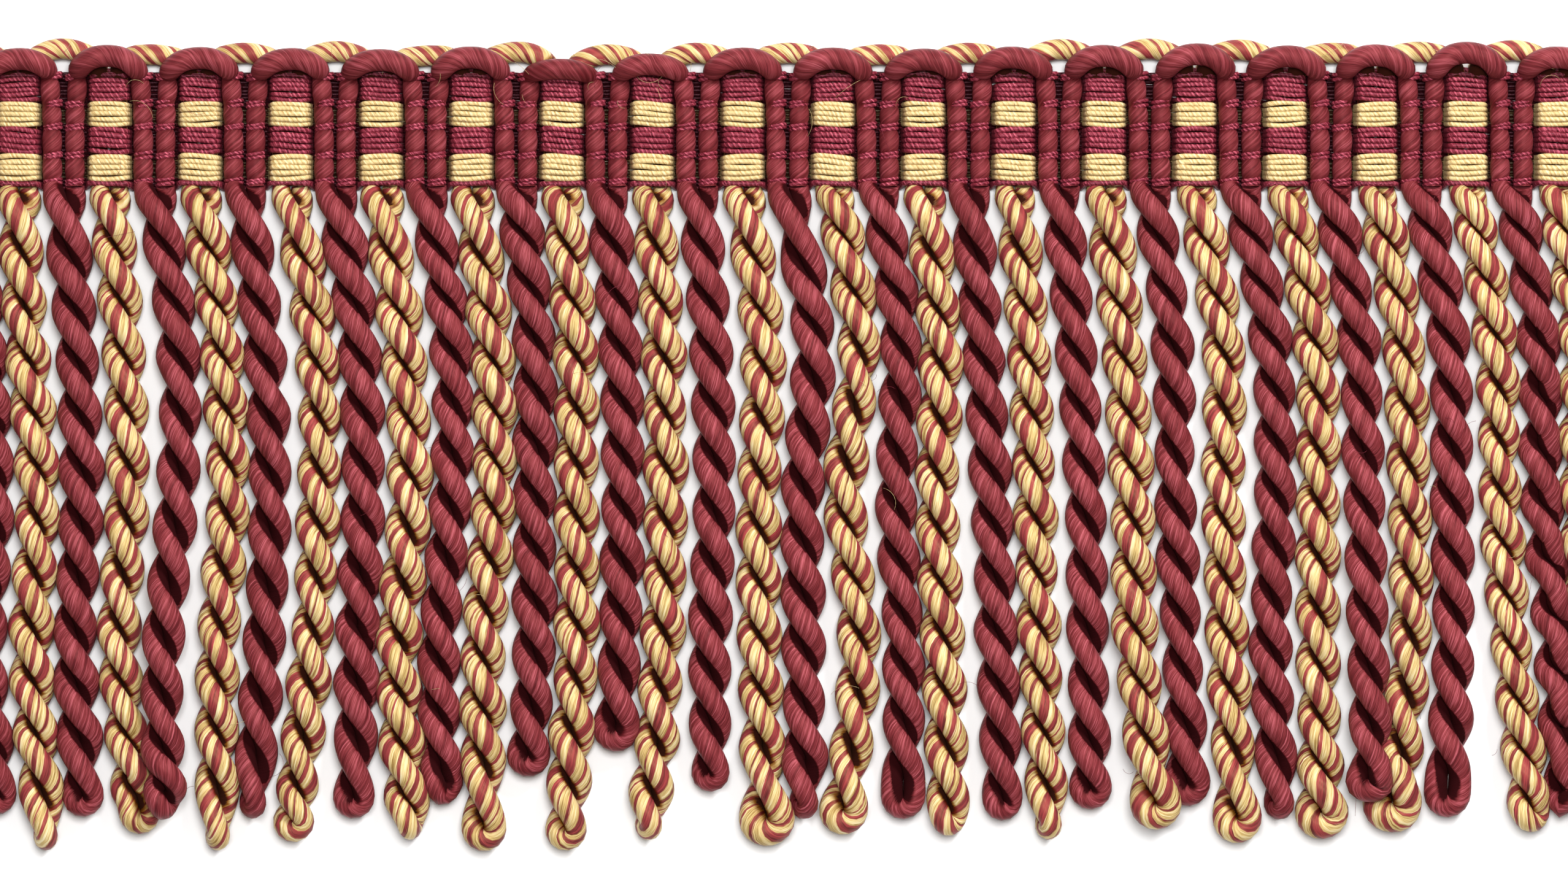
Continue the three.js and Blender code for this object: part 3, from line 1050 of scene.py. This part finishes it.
@dataclass
class HeadingArches:
    """The arches of one cord over the heading, with their legs down to its foot."""

    centres: list[float]
    tops: tuple[float, ...]
    reach: float
    leg_radius: float
    crest_radius: float
    leg_height: float
    crest_height: float
    seed: int
    pinches: tuple[float, ...] = ()
    pinch: float = 0.4
    splay: float = 0.0
    # Paint shade under the other cord's arch, instead of under the stitches.
    shaded: bool = False
    jog: float = 0.14
    pinch_width: float = 1.05
    # Painted shade: how wide it spreads round each stitch, how strong it is there, and how far it reaches
    # under the other cord's arch.
    stitch_width: float = 1.1
    shade: float = 0.2
    cover: float = 3.5

    def runs(self) -> list[Run]:
        """One run for each arch. Those cut by the trim's ends are half arches.

        Returns:
            The runs.
        """
        rng = np.random.default_rng(self.seed)
        made = []
        for centre, top in zip(self.centres, self.tops):
            lean = rng.uniform(-0.5, 0.5)
            points = self._points(centre, top - self.crest_radius, lean, rng)
            points[:, 0] -= self.jog * self._drawn(points, self.pinch_width)
            run = Run(points, self._thickness(points), np.clip((SPRING - points[:, 1]) / 0.5, 0, 1))
            run.painted_shade_arrow = self._shade(points, centre)
            run = self._cut(run)
            if run is None:
                continue
            run = run.spaced(FINE_STEP)
            run.lay_start, run.tone = rng.uniform(0, 60), rng.uniform(-0.05, 0.04)
            made.append(run)
        return made

    def _points(self, centre: float, crest: float, lean: float, rng: np.random.Generator) -> np.ndarray:
        """Lays the cord's middle.

        Args:
            centre: X of the arch's middle.
            crest: Y of the cord's middle at the arch's top.
            lean: how far the arch's top leans along the trim.
            rng: where the random numbers come from.

        Returns:
            Points up one leg, over the arch and down the other.
        """
        y = np.linspace(FOOT, SPRING, 60, endpoint=False)
        bow = [rng.uniform(-0.12, 0.12) * np.sin((y - FOOT) / 20.1 * math.pi) for _ in range(2)]
        splay = self.splay * ease((y - 60) / (SPRING - 60))
        up = np.stack([centre - self.reach + splay + bow[0], y, np.full_like(y, self.leg_height)], axis=1)
        down = np.stack([centre + self.reach - splay + bow[1], y, np.full_like(y, self.leg_height)], axis=1)
        t = np.linspace(0, math.pi, 70)
        height = ease(np.sin(t)) * 0.5 + 0.5 * np.sin(t)
        over = np.stack(
            [
                centre - (self.reach - self.splay) * np.cos(t) + lean * np.sin(t),
                SPRING + (crest - SPRING) * np.sin(t) ** 0.92,
                self.leg_height + (self.crest_height - self.leg_height) * height,
            ],
            axis=1,
        )
        return smoothed(np.concatenate([up, over, down[::-1]]), 12)

    def _shade(self, points: np.ndarray, centre: float) -> np.ndarray:
        """Paints shade on the cord's face under the stitches, or under the other cord's arch.

        Args:
            points: the points of the cord's middle.
            centre: X of the arch's middle.

        Returns:
            Arrows that point up, as long as the painted shade on the cord's face is strong.
        """
        if not self.shaded:
            return upward(self.shade * self._drawn(points, self.stitch_width))
        from_leg = PITCH / 2 - np.abs(points[:, 0] - centre)
        return upward(ease((self.cover - from_leg) / 1.2) * ease((points[:, 1] - FOOT - 1.2) / 1.5))

    def _drawn(self, points: np.ndarray, width: float) -> np.ndarray:
        """1 under each stitch, fading to 0 between the stitches."""
        away = points[:, 1][:, None] - np.array(self.pinches).reshape(1, -1)
        return np.exp(-((away / width) ** 2)).sum(axis=1)

    def _thickness(self, points: np.ndarray) -> np.ndarray:
        """How thick the cord is.

        Args:
            points: the points of the cord's middle.

        Returns:
            The radius at each: drawn in under each stitch, and full over the arch.
        """
        full = ease((points[:, 1] - SPRING + 1.5) / 4)
        radius = self.leg_radius + (self.crest_radius - self.leg_radius) * full
        return radius - self.pinch * self._drawn(points, self.pinch_width)

    @staticmethod
    def _cut(run: Run) -> Run | None:
        """Cuts a run off at the trim's ends.

        Args:
            run: the whole run.

        Returns:
            The part inside the ends, if there is one.
        """
        keep = np.abs(run.points[:, 0]) <= HALF_LENGTH + 0.02
        if not keep.any():
            return None
        return Run(run.points[keep], run.radius[keep], run.held[keep], run.painted_shade_arrow[keep])


STITCH_LEVELS = (68.9, 63.8, 59.4, 54.2, 49.2)
BURGUNDY_ARCHES = HeadingArches(
    centres=[arch * PITCH - HALF_LENGTH for arch in range(ARCHES)],
    tops=(
        74.3, 74.2, 74.8, 74.4, 74.2, 74.0, 74.5, 72.3, 73.2, 74.3,
        74.3, 74.1, 74.5, 74.8, 75.1, 74.7, 74.9, 75.4, 74.5, 74.3,
    ),
    reach=6.38, leg_radius=1.9, crest_radius=2.08, leg_height=2.82, crest_height=5.4,
    seed=11, pinches=STITCH_LEVELS, splay=0.5,
)
GOLD_ARCHES = HeadingArches(
    centres=[(arch + 0.5) * PITCH - HALF_LENGTH for arch in range(ARCHES - 1)],
    tops=(
        75.6, 76.2, 75.1, 75.4, 75.7, 74.9, 75.6, 75.1, 75.4, 75.4,
        75.1, 75.4, 76.1, 76.2, 76.0, 75.4, 75.6, 75.9, 75.6,
    ),
    reach=6.67, leg_radius=1.6, crest_radius=2.0, leg_height=2.3, crest_height=2.02,
    seed=12, shaded=True,
)


YARN_STEP = 0.2


@dataclass
class WarpBand:
    """A band of fine yarns that float over each pair of gold legs and pass behind the burgundy ones."""

    piece: str
    node: str
    finish: Finish
    low: float
    high: float
    seed: int
    yarns: int = 5
    float_half: float = 2.95
    turn: float = 1.0
    float_height: float = 4.5
    back_height: float = 0.5
    tucked: int = 0
    fullness: float = 1.02
    packing: float = 0.8
    dome: float = 0.38
    dome_half: float = 4.6
    step: float = 0.62

    def runs(self) -> list[Run]:
        """The band's yarns, side by side, and any above them that are tucked under the arches, with shade
        painted where they pass behind or under other parts.

        Returns:
            One run for each yarn.
        """
        rng = np.random.default_rng(self.seed)
        radius = (self.high - self.low) / self.yarns / 2 * self.fullness
        middle, half = (self.high + self.low) / 2, (self.high - self.low) / 2
        made = []
        x = np.arange(-HALF_LENGTH, HALF_LENGTH, YARN_STEP)
        past_gold = ((x / PITCH) % 1 - 0.5) * PITCH
        to_gold = np.abs(past_gold)
        tilts = rng.uniform(-0.11, 0.05, ARCHES)[np.floor(x / PITCH).astype(int)]
        tilted = tilts * past_gold * np.clip(1 - (past_gold / 5) ** 2, 0, 1)
        on_top = 1 - ease((to_gold - self.float_half) / self.turn)
        swell = np.clip(1 - (to_gold / self.dome_half) ** 2, 0, 1)
        for row in range(self.yarns + self.tucked):
            side = (row - (self.yarns - 1) / 2) / ((self.yarns - 1) / 2)
            height = self.float_height + self.dome * swell * (1 - 0.75 * side**2) - 0.3 * side**2
            z = self.back_height + (height - self.back_height) * on_top
            drift = ripple(rng, x, (0.03, 0.07), (1.2, 6), 3)
            y = middle + side * half * self.packing * (0.84 + 0.22 * swell) + drift + tilted
            plump = ripple(rng, x, (0.02, 0.05), (1, 4), 2)
            run = Run(np.stack([x, y, z], axis=1), radius * (1 + plump))
            # Painted shade on the faces that look up where the yarn passes behind the burgundy legs, and
            # partly on the rows tucked under the arches.
            shaded = 0.45 if row >= self.yarns else 0.0
            run.painted_shade_arrow = upward(1 - (1 - shaded) * on_top)
            run = run.spaced(self.step)
            run.lay_start, run.tone = rng.uniform(0, 20), rng.uniform(-0.04, 0.04)
            made.append(run)
        return made


@dataclass
class BindingThreads:
    """Thin threads over the burgundy legs and behind the gold ones, two at each level."""

    levels: tuple[float, ...] = STITCH_LEVELS
    radius: float = 0.4
    over: float = 1.42
    apart: float = 0.36
    leg_offset: float = 2.02
    leg_height: float = 2.82
    flatness: float = 1.12
    slant: float = 0.15
    lowest: float = 0.55
    behind: tuple[float, ...] = (4.9, 8.47, 12.04)
    behind_height: float = 0.42
    dips: tuple[float, ...] = (0.0, 0.8)
    foot_level: float = 48.9
    foot_radius: float = 0.5
    foot_rise: float = 3.75
    foot_half: float = 3.3
    seed: int = 40

    def runs(self) -> list[Run]:
        """Both threads at each level, and the two across the gold legs at the foot.

        Returns:
            One run for each thread.
        """
        rng = np.random.default_rng(self.seed)
        made = []
        for level in self.levels:
            tilt = rng.uniform(-0.3, 0.3)
            for side in (-self.apart, self.apart):
                made.append(self._thread(level + side, tilt, rng))
        made += [self._foot_thread(rng, dip) for dip in self.dips]
        return made

    def _thread(self, y: float, tilt: float, rng: np.random.Generator) -> Run:
        """Lays one thread from end to end.

        Args:
            y: its height on the trim.
            tilt: how far it slants over the legs.
            rng: where the random numbers come from.

        Returns:
            The thread's run.
        """
        bends = np.radians(np.linspace(232, -52, 15))
        points = []
        for strand in range(-1, 20):
            middle = burgundy_root(strand)
            for leg in (-self.leg_offset, self.leg_offset):
                lift = rng.uniform(-0.12, 0.12)
                for bend in bends:
                    side = self.flatness * self.over * math.cos(bend)
                    rise = self.leg_height + self.over * math.sin(bend)
                    height = y + lift + self.slant * side + tilt * 0.3
                    points.append((middle + leg + side, height, max(self.lowest, rise)))
            points += [(middle + side, y, self.behind_height) for side in self.behind]
        path = np.array(points)
        path = path[np.abs(path[:, 0]) <= HALF_LENGTH]
        # Painted shade on the thread where it lies low, between and behind the legs.
        deep = ease(3.0 - path[:, 2])
        run = Run(path, np.full(len(path), self.radius))
        run.painted_shade_arrow = upward(deep)
        run = run.spaced(0.55)
        run.points = smoothed(run.points, 1)
        run.lay_start = rng.uniform(0, 20)
        return run

    def _foot_thread(self, rng: np.random.Generator, dip: float) -> Run:
        """Lays a thread that crosses the gold legs at the heading's lower edge.

        Args:
            rng: where the random numbers come from.
            dip: how much lower it lies behind the burgundy legs.

        Returns:
            The thread's run.
        """
        x = np.arange(-HALF_LENGTH, HALF_LENGTH, YARN_STEP)
        to_gold = np.abs((x / PITCH) % 1 - 0.5) * PITCH
        over = 1 - ease((to_gold - self.foot_half) / 1.2)
        z = self.foot_radius + self.foot_rise * over
        y = self.foot_level - dip * (1 - over) + 0.12 * np.sin(x / 3.1 + dip)
        run = Run(np.stack([x, y, z], axis=1), np.full_like(x, self.foot_radius))
        # A little painted shade on the top of the foot threads.
        run.painted_shade_arrow = upward(np.full_like(x, 0.3))
        run = run.spaced(0.6)
        run.lay_start = rng.uniform(0, 20)
        return run


@dataclass
class StrayFibres:
    """Loose fibres that stand off the trim's face."""

    count: int
    across: tuple[float, float]
    heights: tuple[float, float]
    seed: int
    radius: float = 0.03

    def runs(self) -> list[Run]:
        """The fibres, each a short bent hair.

        Returns:
            One run for each fibre.
        """
        rng = np.random.default_rng(self.seed)
        made = []
        t = np.linspace(0, 1, 14)
        for _ in range(self.count):
            length = rng.uniform(1.6, 7.0)
            way = rng.uniform(0, math.tau) + rng.uniform(-2.6, 2.6) * t
            x = rng.uniform(-HALF_LENGTH + 8, HALF_LENGTH - 8) + np.cumsum(np.cos(way)) * length / len(t)
            y = rng.uniform(*self.across) + np.cumsum(np.sin(way)) * length / len(t)
            z = rng.uniform(*self.heights) - 1.6 * (2 * t - 1) ** 2
            thickness = np.full_like(t, self.radius)
            made.append(Run(np.stack([x, y, z], axis=1), thickness, lay_start=rng.uniform(0, 20)))
        return made


# ------------------------------------------------------------------ studio


@dataclass
class Studio:
    """Pale floor, soft light and the camera straight above."""

    aim: tuple[float, float] = (-0.69, 0.63)
    plane: float = 4.0
    lens: float = 190.0
    sensor: float = 36.0

    def build(self) -> None:
        """Makes the floor, the lights and the camera."""
        self._floor()
        self._lights()
        self._camera()
        bpy.context.scene.view_settings.view_transform = "Standard"

    def _floor(self) -> None:
        """A plain pale floor under the trim."""
        material = bpy.data.materials.new("pale_floor")
        material.use_nodes = True
        shader = material.node_tree.nodes["Principled BSDF"]
        shader.inputs["Base Color"].default_value = (0.88, 0.88, 0.88, 1)
        shader.inputs["Roughness"].default_value = 0.9
        shader.inputs["Specular IOR Level"].default_value = 0.1
        mesh = bpy.data.meshes.new("floor")
        s = 1.6
        mesh.from_pydata([(-s, -s, 0), (s, -s, 0), (s, s, 0), (-s, s, 0)], [], [(0, 1, 2, 3)])
        mesh.materials.append(material)
        floor = bpy.data.objects.new("floor", mesh)
        bpy.context.scene.collection.objects.link(floor)

    def _lights(self) -> None:
        """A broad soft light above, a nearer one from the upper right, and a pale surround."""
        self._panel("overhead", (0.05, 0.25, 1.5), 0.5, 22.0)
        self._panel("upper_right", (0.5, 0.85, 0.85), 0.3, 18.0)
        world = bpy.data.worlds.new("surround")
        world.use_nodes = True
        world.node_tree.nodes["Background"].inputs[0].default_value = (1.0, 1.0, 1.0, 1)
        world.node_tree.nodes["Background"].inputs[1].default_value = 0.35
        bpy.context.scene.world = world

    def _panel(self, name: str, place: tuple[float, float, float], size: float, watts: float) -> None:
        """A square light that faces the trim.

        Args:
            name: its name.
            place: where it hangs, in metres.
            size: its side, in metres.
            watts: its power.
        """
        data = bpy.data.lights.new(name, "AREA")
        data.size, data.energy = size, watts
        panel = bpy.data.objects.new(name, data)
        panel.location = place
        panel.rotation_euler = (-Vector(place)).to_track_quat("-Z", "Y").to_euler()
        bpy.context.scene.collection.objects.link(panel)

    def _camera(self) -> None:
        """A long lens straight above the trim."""
        data = bpy.data.cameras.new("camera")
        data.lens, data.sensor_width = self.lens, self.sensor
        data.clip_start, data.clip_end = 0.05, 20
        camera = bpy.data.objects.new("camera", data)
        frame_width = PHOTO_WIDTH / PIXELS_PER_MM
        height = self.plane + frame_width / self.sensor * self.lens
        camera.location = (self.aim[0] * MM, self.aim[1] * MM, height * MM)
        bpy.context.scene.collection.objects.link(camera)
        bpy.context.scene.camera = camera


# ------------------------------------------------------------------ the whole trim


@dataclass
class BullionFringe:
    """The whole trim."""

    rack: Rack
    sweep: SweepTree
    bands: list[WarpBand]
    cord_sides: int = 14
    cord_step: float = 0.9
    yarn_sides: int = 10
    thread_sides: int = 6
    fibre_sides: int = 4

    def build(self) -> None:
        """Makes every piece of the trim."""
        burgundy_strands = [
            BullionStrand(BURGUNDY_PLY, burgundy_root(k), reading, 100 + k).run()
            for k, reading in enumerate(BURGUNDY_READINGS)
        ]
        gold_strands = [
            BullionStrand(GOLD_PLY, gold_root(k), reading, 200 + k).run()
            for k, reading in enumerate(GOLD_READINGS)
        ]
        burgundy_arches, gold_arches = BURGUNDY_ARCHES.runs(), GOLD_ARCHES.runs()
        groups = [burgundy_strands, gold_strands, burgundy_arches, gold_arches]
        Nestling().settle([run for group in groups for run in group])
        cords = (
            ("burgundy_strands", burgundy_strands, Finish.BURGUNDY_CORD, ("burgundy_cord",)),
            ("gold_strands", gold_strands, Finish.GOLD_CORD, ("gold_cord",)),
            ("burgundy_arches", burgundy_arches, Finish.BURGUNDY_CORD, ()),
            ("gold_arches", gold_arches, Finish.GOLD_CORD, ()),
        )
        for name, runs, finish, nodes in cords:
            self._piece(name, [run.spaced(self.cord_step) for run in runs], self.cord_sides, finish, nodes)
        for band in self.bands:
            self._piece(band.piece, band.runs(), self.yarn_sides, band.finish, (band.node,))
        self._piece("binding_threads", BindingThreads().runs(), self.thread_sides, Finish.BURGUNDY_YARN)
        pale = StrayFibres(36, (62, 74), (5.6, 7.4), seed=51).runs()
        pale += StrayFibres(14, (-70, 60), (7.6, 8.8), seed=52).runs()
        red = StrayFibres(50, (-72, 74), (7.4, 8.8), seed=53).runs()
        self._piece("pale_stray_fibres", pale, self.fibre_sides, Finish.GOLD_YARN)
        self._piece("red_stray_fibres", red, self.fibre_sides, Finish.BURGUNDY_YARN)

    def _piece(
        self, name: str, runs: list[Run], sides: int, finish: Finish, nodes: tuple[str, ...] = ()
    ) -> None:
        """Sweeps one piece and dresses it.

        Args:
            name: the piece's name.
            runs: its runs of cord or yarn.
            sides: flats around each.
            finish: its finish.
            nodes: CAD nodes that it replaces.
        """
        piece = self.sweep.make(name, runs, sides, self.rack.materials[finish])
        self.rack.dress(piece, finish, nodes)


def main() -> None:
    """Builds the studio and the trim."""
    logging.basicConfig(level=logging.INFO, format="%(name)s: %(message)s")
    Studio().build()
    bands = [
        WarpBand("top_band_yarns", "warp_band_top", Finish.BURGUNDY_YARN, 64.2, 68.6, seed=31, tucked=2),
        WarpBand("upper_band_yarns", "warp_band_upper", Finish.GOLD_YARN, 59.5, 64.2, seed=32),
        WarpBand("lower_band_yarns", "warp_band_lower", Finish.BURGUNDY_YARN, 54.45, 59.4, seed=33),
        WarpBand("foot_band_yarns", "warp_band_foot", Finish.GOLD_YARN, 49.35, 54.4, seed=34),
    ]
    BullionFringe(Rack(), SweepTree(), bands).build()


if __name__ == "__main__":
    main()
